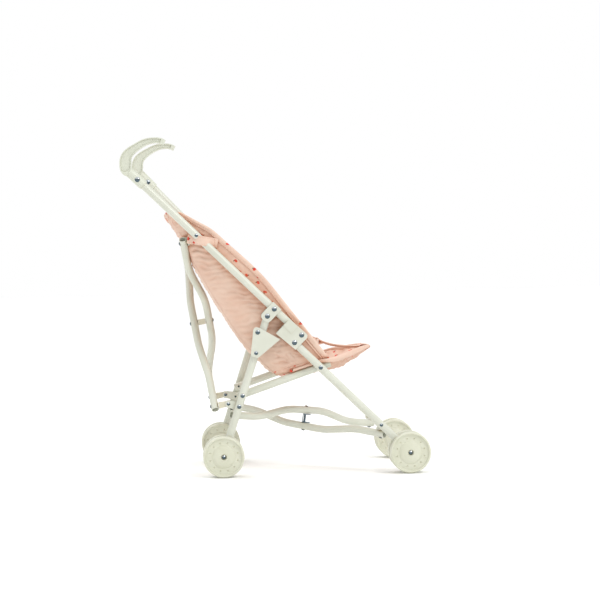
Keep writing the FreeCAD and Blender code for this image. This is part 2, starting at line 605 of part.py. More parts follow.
def side_frame(side):
    """Everything that is made twice: one side frame with its fasteners."""
    name = SIDE_NAMES[side]
    tube = size("tube_diameter")
    gap, plate = size("plate_gap"), size("plate")
    short = size("left_handle_short") if side == LEFT else 0.0
    base, direction, _ = handle_axis(side)
    down = 8.0
    grip_at = size("grip_rivet_distance") - short
    rise = LINK_ON_HANDLE - base
    link_at = rise.dot(direction) if side == RIGHT else size("link_distance") / math.cos(
        math.radians(size("left_handle_lean")))
    straight_tube(f"{name}_handle_tube", size("handle_length") - short + down,
                  in_plane(0, 0, side) + base - direction * down, direction,
                  [down, down + link_at, down + (upper_pivot(side) - base).Length, down + grip_at])
    front_top = 8.0
    leg_end = 7.5
    front_length = (KNEE - FRONT_AXLE).Length + front_top + leg_end
    straight_tube(f"{name}_front_leg", front_length,
                  in_plane(0, 0, side) + FRONT_AXLE - HANDLE_DIRECTION * leg_end, HANDLE_DIRECTION,
                  [front_length - front_top, front_length - front_top - size("seat_pivot_front"),
                   size("front_pivot_distance") + leg_end])
    rear_length = (REAR_LEG_TOP - REAR_AXLE).Length + 6.5 + leg_end
    heights = [(p - REAR_AXLE).dot(LEG_DIRECTION) + leg_end
               for p in (REAR_LEG_TOP, SEAT_REAR, BRACKET_RIVET, LEVER_PIVOT)]
    straight_tube(f"{name}_rear_leg", rear_length,
                  in_plane(0, 0, side) + REAR_AXLE - LEG_DIRECTION * leg_end, LEG_DIRECTION, heights)
    for leg, point in ((nodes[-2], FRONT_AXLE), (nodes[-1], REAR_AXLE)):
        drill = doc.addObject("Part::Cylinder", leg.Label + "_axle_drill")
        drill.setExpression("Radius", "Dimensions.axle_diameter / 2 + Dimensions.pin_clearance")
        drill.setExpression("Height", "2 * Dimensions.tube_diameter")
        drill.Placement = Placement(in_plane(point.y, point.z, side) - Vector(tube, 0, 0),
                                    Rotation(Vector(0, 1, 0), 90))
        drilled = doc.addObject("Part::Cut", leg.Label + "_drilled")
        drilled.Base = leg
        drilled.Tool = drill
        label = leg.Label
        leg.Label = label + "_blank"
        nodes[nodes.index(leg)] = drilled
        drilled.Label = label
    rail = SEAT_FRONT - SEAT_REAR
    rail_length = rail.Length + size("seat_rail_overhang") + 7.0
    rail_way = Vector(rail).normalize()
    straight_tube(f"{name}_seat_rail", rail_length,
                  in_plane(0, 0, side, size("seat_rail_inset")) + SEAT_REAR - rail_way * 7.0,
                  rail_way, [7.0, 7.0 + rail.Length], cap=2.0)
    latch_bracket(side)
    link_bracket(side)
    lock_lever(side)
    rear_bracket(side)
    knuckle(side)
    upper_bracket(side)
    front_bracket(side)
    grip(side)
    rail_inner = -size("seat_rail_inset") - tube / 2
    lean = size("link_distance") * math.tan(math.radians(size("left_handle_lean")))
    extra = lean if side == LEFT else 0.0
    collar = Part.makeCylinder(4.0, 3.9, SEAT_FRONT + Vector(-9.95, 0, 0), Vector(1, 0, 0))
    fasteners = {
        "rear_leg_rivets": [
            rivet(REAR_LEG_TOP, -gap - plate, gap + plate),
            rivet(LEVER_PIVOT, -6.0, 11.15, head=0.78),
            rivet(BRACKET_RIVET, -6.0 - plate, 6.0, head=0.85),
            rivet(SEAT_REAR, -6.0, 6.0, head=0.85),
            rivet(KNUCKLE, -19.2, -6.0, head=0.7)],
        "handle_rivets": [
            rivet(LINK_ON_HANDLE + HANDLE_NORMAL * extra, -gap - plate, gap + plate),
            rivet(upper_pivot(side), -7.4, 6.0, head=0.7),
            rivet(base + direction * grip_at, -size("sleeve_diameter") / 2,
                  size("sleeve_diameter") / 2)],
        "front_leg_rivets": [
            rivet(KNEE, -gap - plate, gap + plate),
            rivet(HINGE, -gap - plate, gap + plate),
            rivet(FRONT_PIVOT, -7.4, 6.0, head=0.7),
            rivet(SEAT_FRONT, rail_inner, 6.0, head=0.85).fuse(collar)],
    }
    for kind, shapes in fasteners.items():
        coded(f"{name}_{kind}", mirrored(Part.makeCompound(shapes), side))
    wheel_pair(f"{name}_rear", in_plane(REAR_AXLE.y, REAR_AXLE.z, side), side)
    wheel_pair(f"{name}_front", in_plane(FRONT_AXLE.y, FRONT_AXLE.z, side), side)


def at_side(point, side):
    """A cross tube's end rivet: a Y-Z point at the inset from a leg plane."""
    return in_plane(point.y, point.z, side, size("cross_inset"))


CLIP_WIDTH = 8.0
CLIP_REACH = 9.0
CLIP_SHEET = 1.2


def u_clip(middle, low, high):
    """A folded steel channel between the lower cross tubes, open to the front, on its rivet."""
    def block(back, front, bottom, top):
        corners = [middle - LOWER_RUN * back + LOWER_UP * bottom,
                   middle - LOWER_RUN * back + LOWER_UP * top,
                   middle + LOWER_RUN * front + LOWER_UP * top,
                   middle + LOWER_RUN * front + LOWER_UP * bottom]
        return prism(corners, -CLIP_WIDTH / 2, CLIP_WIDTH / 2)

    clip = block(4.0, -4.0 + CLIP_SHEET, low, high)
    clip = clip.fuse([block(4.0, CLIP_REACH, low, low + CLIP_SHEET),
                      block(4.0, CLIP_REACH, high - CLIP_SHEET, high)])
    pin = Part.makeCylinder(size("rivet_diameter") / 2, high - low, middle + LOWER_UP * low,
                            LOWER_UP)
    return clip.fuse(pin).removeSplitter()


def crosses():
    """The two crossed pairs of bent tubes, their spacers, clip and rivet heads."""
    pairs = (
        ("rear_cross_tube_front", at_side(CROSS_BOTTOM, LEFT), at_side(CROSS_TOP, RIGHT),
         CROSS_NORMAL, size("rear_cross_front_bulge")),
        ("rear_cross_tube_rear", at_side(CROSS_BOTTOM, RIGHT), at_side(CROSS_TOP, LEFT),
         CROSS_NORMAL, size("rear_cross_rear_bulge")),
        ("lower_cross_tube_top", at_side(LOWER_FRONT, LEFT), at_side(LOWER_REAR, RIGHT),
         LOWER_UP, size("lower_cross_top_bulge")),
        ("lower_cross_tube_bottom", at_side(LOWER_FRONT, RIGHT), at_side(LOWER_REAR, LEFT),
         LOWER_UP, size("lower_cross_bottom_bulge")),
    )
    for label, first, last, normal, bulge in pairs:
        cross_tube(label, first, last, normal, bulge)
    radius = size("tube_diameter") / 2
    rear_middle = (CROSS_BOTTOM + CROSS_TOP) / 2
    low = size("rear_cross_front_bulge") + radius + 0.35
    high = size("rear_cross_rear_bulge") - radius - 0.02
    spacer = Part.makeCylinder(4.6, high - low, rear_middle + CROSS_NORMAL * low, CROSS_NORMAL)
    coded("rear_cross_spacer", spacer)
    lower_middle = (LOWER_REAR + LOWER_FRONT) / 2
    low = size("lower_cross_bottom_bulge") + radius + 0.02
    high = size("lower_cross_top_bulge") - radius - 0.35
    coded("lower_cross_spacer", u_clip(lower_middle, low, high))
    heads = {
        "rear_cross_rivets": [
            rivet_head(rear_middle + CROSS_NORMAL * (size("rear_cross_rear_bulge") + radius),
                       CROSS_NORMAL, 0.85),
            rivet_head(at_side(CROSS_BOTTOM, RIGHT) + CROSS_NORMAL * radius, CROSS_NORMAL, 0.85),
            rivet_head(at_side(CROSS_TOP, LEFT) + CROSS_NORMAL * radius, CROSS_NORMAL, 0.85)],
        "front_cross_rivets": [
            rivet_head(rear_middle + CROSS_NORMAL * (size("rear_cross_front_bulge") - radius),
                       CROSS_NORMAL * -1, 0.85),
            rivet_head(at_side(CROSS_BOTTOM, LEFT) + CROSS_NORMAL * radius, CROSS_NORMAL, 0.85),
            rivet_head(at_side(CROSS_TOP, RIGHT) + CROSS_NORMAL * radius, CROSS_NORMAL, 0.85)],
        "lower_cross_top_rivets": [
            rivet_head(lower_middle + LOWER_UP * (size("lower_cross_top_bulge") + radius),
                       LOWER_UP, 0.85),
            rivet_head(at_side(LOWER_FRONT, LEFT) - LOWER_UP * radius, LOWER_UP * -1, 0.85),
            rivet_head(at_side(LOWER_REAR, RIGHT) - LOWER_UP * radius, LOWER_UP * -1, 0.85)],
        "lower_cross_bottom_rivets": [
            rivet_head(lower_middle + LOWER_UP * (size("lower_cross_bottom_bulge") - radius),
                       LOWER_UP * -1, 0.85),
            rivet_head(at_side(LOWER_FRONT, RIGHT) - LOWER_UP * radius, LOWER_UP * -1, 0.85),
            rivet_head(at_side(LOWER_REAR, LEFT) - LOWER_UP * radius, LOWER_UP * -1, 0.85)],
    }
    for label, shapes in heads.items():
        coded(label, Part.makeCompound(shapes))


def yz(points):
    return [Vector(0, y, z) for y, z in points]


def sling():
    """The seat: a back panel, two side wings, a base, a front flap, a lap belt, a crotch strap."""
    half = size("sling_half_width")
    cloth = size("fabric")
    wing = yz([(152, 420), (139, 413), (98, 391), (-76, 193), (-1, 157), (46, 209), (116, 326),
               (129, 372), (137, 384), (165, 417)])
    shift = Vector(0, -cloth * 0.8, cloth * 0.6)
    hollow = yz([(152, 440), (60, 440), (-150, 250), (-150, 120), (-31, 130), (-1, 157),
                 (46, 209), (116, 326), (129, 372), (137, 384), (170, 425)])
    inner = prism([p + shift for p in hollow], -half, half)
    coded("seat_back", prism(wing, -half + cloth, half - cloth - 0.3).cut(inner))
    coded("right_side_wing", prism(wing, -half, -half + cloth))
    coded("left_side_wing", prism(wing, half - cloth, half))
    seat = yz([(-3, 156), (-30, 164.5), (-60, 174.5), (-84, 181), (-98, 186), (-98, 161),
               (-60, 157.5), (-30, 155.5), (-5, 153.5)])
    coded("seat_base", prism(seat, -half + cloth + 1.0, half - cloth - 1.0))
    tongue = yz([(-98.3, 186), (-118, 187), (-138, 191), (-160, 195.5), (-160, 192.5), (-138, 180),
                 (-118, 172), (-98.3, 161.5)])
    plan = [(-72, -98), (-50, -116), (-35, -130), (-24, -144), (-9, -160.5), (9, -160.5),
            (24, -144), (35, -130), (50, -116), (72, -98)]
    corners = [Vector(x, y, 150) for x, y in plan]
    outline = Part.Face(Part.makePolygon(corners + corners[:1])).extrude(Vector(0, 0, 60))
    coded("front_flap", prism(tongue, -80, 80).common(outline))
    reach = half - cloth - 0.6
    plan = [(-reach, -61), (0, -71), (reach, -61), (reach, -63.2), (0, -73.2), (-reach, -63.2)]
    corners = [Vector(x, y, 203) for x, y in plan]
    belt = Part.Face(Part.makePolygon(corners + corners[:1])).extrude(Vector(0, 0, 7))
    coded("lap_belt", belt)
    strap = yz([(-73.6, 203.6), (-73.6, 206.4), (-138, 197.2), (-152, 197.2), (-152, 195),
                (-138, 194.6)])
    coded("crotch_strap", prism(strap, -8, 8))


side_frame(RIGHT)
side_frame(LEFT)
crosses()
sling()
doc.recompute()

# --- checks and export ---
os.makedirs("parts", exist_ok=True)
whole = FreeCAD.BoundBox()
for item in doc.Objects:
    if "Invalid" in item.State or "Error" in item.State:
        raise RuntimeError(f"{item.Name} failed: {item.State}")
for item in nodes:
    shape = item.Shape
    if shape.isNull() or not shape.isValid() or not shape.Solids:
        raise RuntimeError(f"{item.Label} has no valid solid")
for item in nodes:
    item.Shape.exportStep(f"parts/{item.Label}.step")
    whole.add(item.Shape.BoundBox)
print(len(nodes), "nodes", "box", [round(v, 2) for v in (
    whole.XMin, whole.YMin, whole.ZMin, whole.XMax, whole.YMax, whole.ZMax)])
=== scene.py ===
import json
import math
import random

import bmesh
import bpy
import numpy as np
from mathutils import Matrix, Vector, noise


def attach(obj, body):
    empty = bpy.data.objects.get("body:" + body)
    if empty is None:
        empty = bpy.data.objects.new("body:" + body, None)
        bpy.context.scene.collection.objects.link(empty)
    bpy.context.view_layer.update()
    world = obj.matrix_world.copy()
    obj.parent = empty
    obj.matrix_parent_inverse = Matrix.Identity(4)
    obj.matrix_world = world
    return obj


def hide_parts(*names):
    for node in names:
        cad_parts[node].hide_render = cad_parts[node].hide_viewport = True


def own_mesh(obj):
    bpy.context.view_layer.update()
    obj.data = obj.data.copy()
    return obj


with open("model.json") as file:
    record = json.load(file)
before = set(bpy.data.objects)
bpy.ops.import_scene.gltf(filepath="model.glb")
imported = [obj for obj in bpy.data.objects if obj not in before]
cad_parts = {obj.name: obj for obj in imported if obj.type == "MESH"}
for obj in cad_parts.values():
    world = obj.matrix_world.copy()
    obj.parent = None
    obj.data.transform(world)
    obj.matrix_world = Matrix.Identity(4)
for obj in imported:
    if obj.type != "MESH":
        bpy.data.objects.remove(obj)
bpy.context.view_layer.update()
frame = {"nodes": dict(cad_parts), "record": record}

# A doll's umbrella-fold buggy. The frame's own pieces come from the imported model; the sling, its
# bindings, straps and belt are made here. Lengths are in metres, +Z up, the front at -Y.

scene = bpy.context.scene
NODES = frame["nodes"]
MM = 0.001
RIGHT, LEFT = -1, 1
SIDEWAYS, UPWARD = np.array([1.0, 0, 0]), np.array([0, 0, 1.0])
SIDE_NAMES = {RIGHT: "right", LEFT: "left"}


# --- materials ---
def linear(hexadecimal):
    """A web colour as linear RGBA."""
    channels = [int(hexadecimal[i:i + 2], 16) / 255 for i in (0, 2, 4)]
    return tuple(c / 12.92 if c < 0.04045 else ((c + 0.055) / 1.055) ** 2.4 for c in channels) + (1,)


class Shader:
    """A node material under construction: a Principled shader and small helpers."""

    def __init__(self, name, roughness, **constants):
        self.material = bpy.data.materials.new(name)
        self.material.use_nodes = True
        self.tree = self.material.node_tree
        self.shader = self.tree.nodes["Principled BSDF"]
        self.shader.inputs["Roughness"].default_value = roughness
        for socket, value in constants.items():
            self.shader.inputs[socket.replace("_", " ")].default_value = value

    def node(self, kind, settings=None, **inputs):
        """A node; each input is a constant or another node's output."""
        made = self.tree.nodes.new(kind)
        for name, value in (settings or {}).items():
            setattr(made, name, value)
        for name, value in inputs.items():
            key = int(name[1:]) if name[0] == "i" and name[1:].isdigit() else name.replace("_", " ")
            if isinstance(value, bpy.types.NodeSocket):
                self.tree.links.new(value, made.inputs[key])
            else:
                made.inputs[key].default_value = value
        return made

    def math(self, operation, *values):
        """The result of a Math node on constants or outputs."""
        return self.node("ShaderNodeMath", {"operation": operation},
                         **{f"i{n}": v for n, v in enumerate(values)}).outputs[0]

    def position(self):
        """Where the shaded point is on its own piece."""
        return self.node("ShaderNodeTexCoord").outputs["Object"]

    def noise(self, vector, scale, detail=3.0, roughness=0.5):
        return self.node("ShaderNodeTexNoise", Vector=vector, Scale=scale, Detail=detail,
                         Roughness=roughness).outputs["Fac"]

    def blend(self, factor, first, second):
        """A colour between two, each a constant or an output."""
        mixed = self.node("ShaderNodeMix", {"data_type": "RGBA"})
        for socket, value in ((mixed.inputs[0], factor), (mixed.inputs[6], first),
                              (mixed.inputs[7], second)):
            if isinstance(value, bpy.types.NodeSocket):
                self.tree.links.new(value, socket)
            else:
                socket.default_value = value
        return mixed.outputs[2]

    def ramp(self, value, low, high):
        """value stretched so that low gives 0 and high gives 1."""
        return self.node("ShaderNodeMapRange", Value=value, From_Min=low, From_Max=high).outputs[0]

    def colour(self, output):
        self.tree.links.new(output, self.shader.inputs["Base Color"])

    def roughness(self, output):
        self.tree.links.new(output, self.shader.inputs["Roughness"])

    def bump(self, height, distance, strength=1.0):
        made = self.node("ShaderNodeBump", Strength=strength, Distance=distance, Height=height)
        self.tree.links.new(made.outputs[0], self.shader.inputs["Normal"])


def painted_metal():
    """Ivory powder coat: faint orange peel, soft cloudiness, painted shade in the low places."""
    s = Shader("ivory_powder_coat", 0.36, Coat_Weight=0.12, Coat_Roughness=0.25)
    where = s.position()
    cloud = s.noise(where, 28.0)
    base = s.blend(s.ramp(cloud, 0.3, 0.7), linear("D0D2C5"), linear("C9CBBC"))
    # painted shade: a tan darkening where the coat is occluded, in corners, recesses and between parts
    corner = s.node("ShaderNodeAmbientOcclusion", {"samples": 16}, Distance=0.006).outputs["AO"]
    s.colour(s.blend(s.ramp(corner, -0.1, 0.85), linear("B9AB88"), base))
    s.roughness(s.ramp(s.noise(where, 160.0), -0.9, 3.4))
    s.bump(s.noise(where, 900.0, 2.0), 0.00004, 0.5)
    return s.material


def moulded_plastic(name, light, shade, roughness, scuffs):
    """Moulded ivory plastic with flow clouding, fine scuffs and painted shade in its recesses."""
    s = Shader(name, roughness)
    where = s.position()
    cloud = s.noise(where, 40.0)
    base = s.blend(s.ramp(cloud, 0.3, 0.7), linear(light), linear(shade))
    # painted shade: a tan darkening where the plastic is occluded, along rims and in pits and recesses
    corner = s.node("ShaderNodeAmbientOcclusion", {"samples": 16}, Distance=0.003).outputs["AO"]
    s.colour(s.blend(s.ramp(corner, -0.9, 0.75), linear("A99C70"), base))
    rub = s.noise(where, 420.0, 5.0, 0.7)
    s.roughness(s.math("ADD", s.math("MULTIPLY", rub, scuffs), roughness - scuffs / 2))
    s.bump(rub, 0.00003, 0.4)
    return s.material


def bright_steel():
    """Plated steel with faint polishing marks and a painted reflection: darker where it faces level or
    down.
    """
    s = Shader("bright_steel", 0.14, Metallic=1.0)
    where = s.position()
    marks = s.noise(where, 700.0, 3.0)
    bright = s.blend(s.ramp(marks, 0.3, 0.7), linear("C3C8CB"), linear("AEB5B9"))
    # painted reflection: a dark blue-grey where the normal faces level or down, the bright tone where
    # it faces up
    axes = s.node("ShaderNodeSeparateXYZ", Vector=s.node("ShaderNodeNewGeometry").outputs["Normal"])
    s.colour(s.blend(s.ramp(axes.outputs["Z"], 0.02, 0.32), linear("56646C"), bright))
    s.roughness(s.ramp(marks, -0.3, 5.0))
    s.bump(marks, 0.00001, 0.4)
    return s.material


CHERRY_PITCH = 0.019       # spacing of the printed motif
CHERRY_SIZE = 0.0025
STALK_SIZE = 0.0009
THREAD_PITCH = 0.0011


def cotton(name, printed, tint="E0C5B3", shade="D7B4A0", ink=1.0):
    """Peach cotton, plain or printed with small cherries, from the cloth's own flat coordinates, with
    painted orange-brown shade where it is occluded.
    """
    s = Shader(name, 0.86, Sheen_Weight=0.18, Sheen_Roughness=0.5)
    flat = s.node("ShaderNodeUVMap", {"uv_map": "cloth"}).outputs["UV"]
    axes = s.node("ShaderNodeSeparateXYZ", Vector=flat)
    across, along = axes.outputs["X"], axes.outputs["Y"]
    fade = s.noise(s.position(), 22.0, 4.0)
    colour = s.blend(s.ramp(fade, 0.35, 0.7), linear(tint), linear(shade))
    weft = s.math("SINE", s.math("MULTIPLY", across, 2 * math.pi / THREAD_PITCH))
    warp = s.math("SINE", s.math("MULTIPLY", along, 2 * math.pi / THREAD_PITCH))
    weave = s.math("MULTIPLY", weft, warp)
    slub = s.noise(flat, 2600.0, 2.0)
    colour = s.blend(s.math("MULTIPLY", s.ramp(slub, 0.45, 0.75), 0.18), colour, linear("C7A18B"))
    if printed:
        cell = s.node("ShaderNodeTexVoronoi", {"voronoi_dimensions": "2D"}, Vector=flat,
                      Scale=1 / CHERRY_PITCH, Randomness=0.62)
        offset = s.node("ShaderNodeVectorMath", {"operation": "SUBTRACT"}, i0=flat,
                        i1=cell.outputs["Position"])
        turn = s.math("MULTIPLY", s.node("ShaderNodeSeparateColor",
                                         Color=cell.outputs["Color"]).outputs[0], 6.28)
        local = s.node("ShaderNodeVectorRotate", {"rotation_type": "Z_AXIS"},
                       Vector=offset.outputs[0], Angle=turn).outputs[0]
        fruit = [(0.0, 0.0, CHERRY_SIZE, "C8281B"), (0.0017, -0.0009, CHERRY_SIZE * 0.85, "D23A24"),
                 (0.0006, 0.0021, STALK_SIZE, "2F3A22"), (0.0016, 0.0024, STALK_SIZE, "3C4A2A")]
        for x, y, radius, tone in fruit:
            gap = s.node("ShaderNodeVectorMath", {"operation": "DISTANCE"}, i0=local, i1=(x, y, 0))
            inside = s.math("MULTIPLY", s.ramp(gap.outputs["Value"], radius, radius * 0.72), ink)
            colour = s.blend(inside, colour, linear(tone))
    # painted shade: an orange-brown darkening where the cloth is occluded, in its folds and near the
    # frame
    painted_shade = s.node("ShaderNodeAmbientOcclusion", {"samples": 8}, Distance=0.016).outputs["AO"]
    s.colour(s.blend(s.ramp(painted_shade, 0.0, 0.95), linear("CB7E50"), colour))
    crumple = s.noise(flat, 130.0, 3.0, 0.6)
    height = s.math("ADD", s.math("MULTIPLY", weave, 0.05), crumple)
    s.bump(height, 0.0009, 0.55)
    return s.material


def thread():
    """Matt sewing thread, slightly uneven in colour."""
    s = Shader("sewing_thread", 0.7, Sheen_Weight=0.2)
    s.colour(s.blend(s.noise(s.position(), 900.0), linear("F0D8C8"), linear("D9AF98")))
    return s.material


PAINT = painted_metal()
WHEEL_PLASTIC = moulded_plastic("wheel_plastic", "D3D4C2", "CCCDB8", 0.34, 0.12)
GRIP_PLASTIC = moulded_plastic("grip_plastic", "CFD2C3", "C9CBBB", 0.42, 0.14)
SPACER_PLASTIC = moulded_plastic("spacer_plastic", "D4D0BC", "CAC4AB", 0.45, 0.16)
STEEL = bright_steel()
PLAIN_COTTON = cotton("peach_cotton", False)
PRINTED_COTTON = cotton("cherry_cotton", True)
FADED_COTTON = cotton("cherry_cotton_wrong_side", True, "D9B39C", "CDA48C", 0.45)
THREAD = thread()

FINISHES = {"frame_paint": PAINT, "wheel_plastic": WHEEL_PLASTIC, "grip_plastic": GRIP_PLASTIC,
            "spacer_plastic": SPACER_PLASTIC, "bright_steel": STEEL, "sling_fabric": PLAIN_COTTON}
for part in frame["record"]["subparts"]:
    mesh = NODES[part["node"]].data
    mesh.materials.clear()
    mesh.materials.append(FINISHES[part["material_slot"]])


# --- softened edges on the frame's pressed parts ---
PRESSED_PARTS = ("bracket", "lever", "knuckle")
EDGE_RADIUS = 0.0003


def soften(node):
    """Rounds a pressed part's cut edges, so that they catch the light."""
    weld = node.modifiers.new("weld", "WELD")
    weld.merge_threshold = 0.000002
    bevel = node.modifiers.new("edge", "BEVEL")
    bevel.width = EDGE_RADIUS
    bevel.segments = 2
    bevel.limit_method = "ANGLE"
    bevel.angle_limit = math.radians(40)


for name, node in NODES.items():
    if any(word in name for word in PRESSED_PARTS):
        soften(node)


# --- camera, light and floor ---
LOOK = Vector((0.0, -0.046, 0.2735))
GAZE = Vector((0.997692, -0.062090, -0.027487)).normalized()
CAMERA_DISTANCE = 3.06039
CAMERA_ROLL = math.radians(-1.035)
CAMERA_LENS = 112.05


def photographer():
    """The camera: on the right side and nearly square to it, looking slightly down, rolled a degree."""
    camera = bpy.data.objects.new("camera", bpy.data.cameras.new("camera"))
    scene.collection.objects.link(camera)
    camera.data.lens = CAMERA_LENS
    camera.data.sensor_width = 36.0
    camera.data.clip_end = 50.0
    level = GAZE.cross(Vector((0, 0, 1))).normalized()
    lift = level.cross(GAZE)
    right = level * math.cos(CAMERA_ROLL) + lift * math.sin(CAMERA_ROLL)
    up = lift * math.cos(CAMERA_ROLL) - level * math.sin(CAMERA_ROLL)
    matrix = camera.matrix_world.to_3x3()
    matrix.col[0], matrix.col[1], matrix.col[2] = right, up, -GAZE
    camera.matrix_world = matrix.to_4x4()
    camera.matrix_world.translation = LOOK - GAZE * CAMERA_DISTANCE
    scene.camera = camera


def area_light(name, place, size, power):
    """A square soft light, aimed at the middle of the buggy."""
    light = bpy.data.objects.new(name, bpy.data.lights.new(name, "AREA"))
    scene.collection.objects.link(light)
    light.data.size = size
    light.data.energy = power
    light.location = place
    light.rotation_euler = (LIGHT_AIM - Vector(place)).to_track_quat("-Z", "Y").to_euler()


HORIZON_LIGHT = 0.66
OVERHEAD_LIGHT = 1.27
LIGHT_AIM = Vector((0, 0, 0.25))
FLOOR_HALF = 12.0


def studio():
    """A pale floor under a white surround that is brighter overhead, with two soft lights."""
    world = bpy.data.worlds.new("studio")
    scene.world = world
    world.use_nodes = True
    tree = world.node_tree
    background = tree.nodes["Background"]
    background.inputs[0].default_value = (1.0, 1.0, 1.0, 1)
    axes = tree.nodes.new("ShaderNodeSeparateXYZ")
    direction = tree.nodes.new("ShaderNodeTexCoord").outputs["Generated"]
    tree.links.new(direction, axes.inputs[0])
    glow = tree.nodes.new("ShaderNodeMapRange")
    for socket, value in (("From Min", -0.05), ("From Max", 0.95), ("To Min", HORIZON_LIGHT),
                          ("To Max", OVERHEAD_LIGHT)):
        glow.inputs[socket].default_value = value
    tree.links.new(axes.outputs["Z"], glow.inputs["Value"])
    seen = tree.nodes.new("ShaderNodeLightPath").outputs["Is Camera Ray"]
    strength = tree.nodes.new("ShaderNodeMix")
    tree.links.new(seen, strength.inputs[0])
    tree.links.new(glow.outputs[0], strength.inputs[2])
    strength.inputs[3].default_value = 1.0
    tree.links.new(strength.outputs[0], background.inputs[1])
    area_light("key", (-1.5, -1.3, 2.1), 0.7, 20.0)
    area_light("back_key", (1.6, 1.2, 2.1), 1.2, 18.0)
    scene.view_settings.view_transform = "Standard"
    floor_material = Shader("studio_floor", 0.8)
    speck = floor_material.noise(floor_material.position(), 6.0)
    floor_material.colour(floor_material.blend(speck, linear("FDFDFC"), linear("FAFAF9")))
    mesh = bpy.data.meshes.new("studio_floor")
    corners = [(x * FLOOR_HALF, y * FLOOR_HALF, 0) for x, y in ((-1, -1), (1, -1), (1, 1), (-1, 1))]
    mesh.from_pydata(corners, [], [(0, 1, 2, 3)])
    mesh.materials.append(floor_material.material)
    floor = bpy.data.objects.new("studio_floor", mesh)
    floor.location.z = -0.0005
    scene.collection.objects.link(floor)


photographer()
studio()


# --- mesh helpers ---
def link(name, mesh, materials):
    """An object for a finished mesh, smooth shaded."""
    for material in materials:
        mesh.materials.append(material)
    mesh.shade_smooth()
    piece = bpy.data.objects.new(name, mesh)
    scene.collection.objects.link(piece)
    return piece


def applied(piece):
    """Freezes a piece's modifiers into its mesh."""
    depsgraph = bpy.context.evaluated_depsgraph_get()
    mesh = bpy.data.meshes.new_from_object(piece.evaluated_get(depsgraph))
    piece.modifiers.clear()
    piece.data = mesh
    return piece


def smooth_line(points, count):
    """count points spaced evenly along a Catmull-Rom curve through the given ones."""
    given = np.array(points, float)
    padded = np.vstack([2 * given[0] - given[1], given, 2 * given[-1] - given[-2]])
    dense = []
    for a, b, c, d in zip(padded, padded[1:], padded[2:], padded[3:]):
        for t in np.linspace(0, 1, 24, endpoint=False):
            dense.append(0.5 * (2 * b + (c - a) * t + (2 * a - 5 * b + 4 * c - d) * t ** 2
                                + (3 * b - a - 3 * c + d) * t ** 3))
    dense = np.array(dense + [given[-1]])
    lengths = distances(dense)
    wanted = np.linspace(0, lengths[-1], count)
    return np.stack([np.interp(wanted, lengths, dense[:, k]) for k in range(given.shape[1])], axis=1)


def unit(vectors):
    """Each row scaled to length one."""
    return vectors / np.linalg.norm(vectors, axis=-1, keepdims=True)


def directions(line):
    """The unit direction of travel at each point of a line."""
    return unit(np.gradient(line, axis=0))


def distances(line):
    """How far each point of a line lies along it."""
    return np.concatenate([[0], np.cumsum(np.linalg.norm(np.diff(line, axis=0), axis=1))])


def read_along(run, values, distance):
    """The values given for a line's points, read at a distance along it; run is its distances."""
    return np.array([np.interp(distance, run, values[:, k]) for k in range(3)])


def grid_faces(rows, columns, start=0, wrap=False):
    """Quads over a grid of vertices that starts at vertex start."""
    faces = []
    for i in range(rows - 1):
        for j in range(columns if wrap else columns - 1):
            k = (j + 1) % columns
            faces.append((start + i * columns + j, start + i * columns + k,
                          start + (i + 1) * columns + k, start + (i + 1) * columns + j))
    return faces


def set_flat(mesh, coordinates):
    """Writes the flat cloth coordinate of every vertex to the mesh's UV map."""
    layer = mesh.uv_layers.new(name="cloth")
    for loop in mesh.loops:
        layer.data[loop.index].uv = coordinates[loop.vertex_index]


RIBBON_SIDES = 16          # facets over one face of a tape
RIBBON_ROUNDNESS = 0.6     # below 1 flattens the tape's faces and rounds its edges


def ribbon(name, line, normals, width, thick, materials, bulge=0.0, slack=0.0):
    """A tape along line with rounded edges. normals point out of its face at each point.

    bulge crowns its middle, and slack is the height of a slow wave along it.
    """
    line, normals = np.array(line), np.array(normals)
    count = len(line)
    ahead = directions(line)
    across = unit(np.cross(normals, ahead))
    normals = np.cross(ahead, across)
    widths = np.broadcast_to(width, count)
    upper = []
    for k in range(RIBBON_SIDES + 1):
        angle = math.pi * k / RIBBON_SIDES
        upper.append((-math.cos(angle), math.sin(angle) ** RIBBON_ROUNDNESS))
    section = upper + [(x, -y) for x, y in reversed(upper[1:-1])]
    verts, flat = [], []
    run = distances(line)
    for i in range(count):
        for x, y in section:
            wave = slack * math.sin(9.0 * i / count * math.pi + 2.0 * x)
            lift = y * thick / 2 + bulge * (1 - x * x) + wave
            verts.append(line[i] + across[i] * x * widths[i] / 2 + normals[i] * lift)
            flat.append((x * widths[i] / 2 + 0.031, run[i] + 0.007))
    around = len(section)
    faces = grid_faces(count, around, wrap=True)
    faces += [tuple(range(around)), tuple(reversed(range((count - 1) * around, count * around)))]
    mesh = bpy.data.meshes.new(name)
    mesh.from_pydata([tuple(v) for v in verts], [], faces)
    set_flat(mesh, flat)
    return link(name, mesh, materials)


def stitches(name, line, normals, length=0.0024, gap=0.0016, thick=0.00045):
    """A row of short raised stitches along a line that lies on cloth."""
    line, normals = np.array(line), np.array(normals)
    run = distances(line)
    rings, sides = 5, 6
    verts, faces = [], []
    start = gap
    while start + length < run[-1]:
        first = len(verts)
        for step in np.linspace(0, 1, rings):
            place = start + step * length
            centre = read_along(run, line, place)
            ahead = unit(read_along(run, line, place + 1e-4) - read_along(run, line, place - 1e-4))
            side = unit(np.cross(read_along(run, normals, place), ahead))
            up = np.cross(ahead, side)
            arch = math.sin(math.pi * min(max(step, 0.06), 0.94))
            for k in range(sides):
                angle = 2 * math.pi * k / sides
                verts.append(centre + thick * (0.35 + 0.65 * arch) * (
                    side * math.cos(angle) + up * (math.sin(angle) + arch * 0.9)))
        faces += grid_faces(rings, sides, first, wrap=True)
        last = first + (rings - 1) * sides
        faces += [tuple(reversed(range(first, first + sides))), tuple(range(last, last + sides))]
        start += length + gap
    mesh = bpy.data.meshes.new(name)
    mesh.from_pydata([tuple(v) for v in verts], [], faces)
    return link(name, mesh, [THREAD])


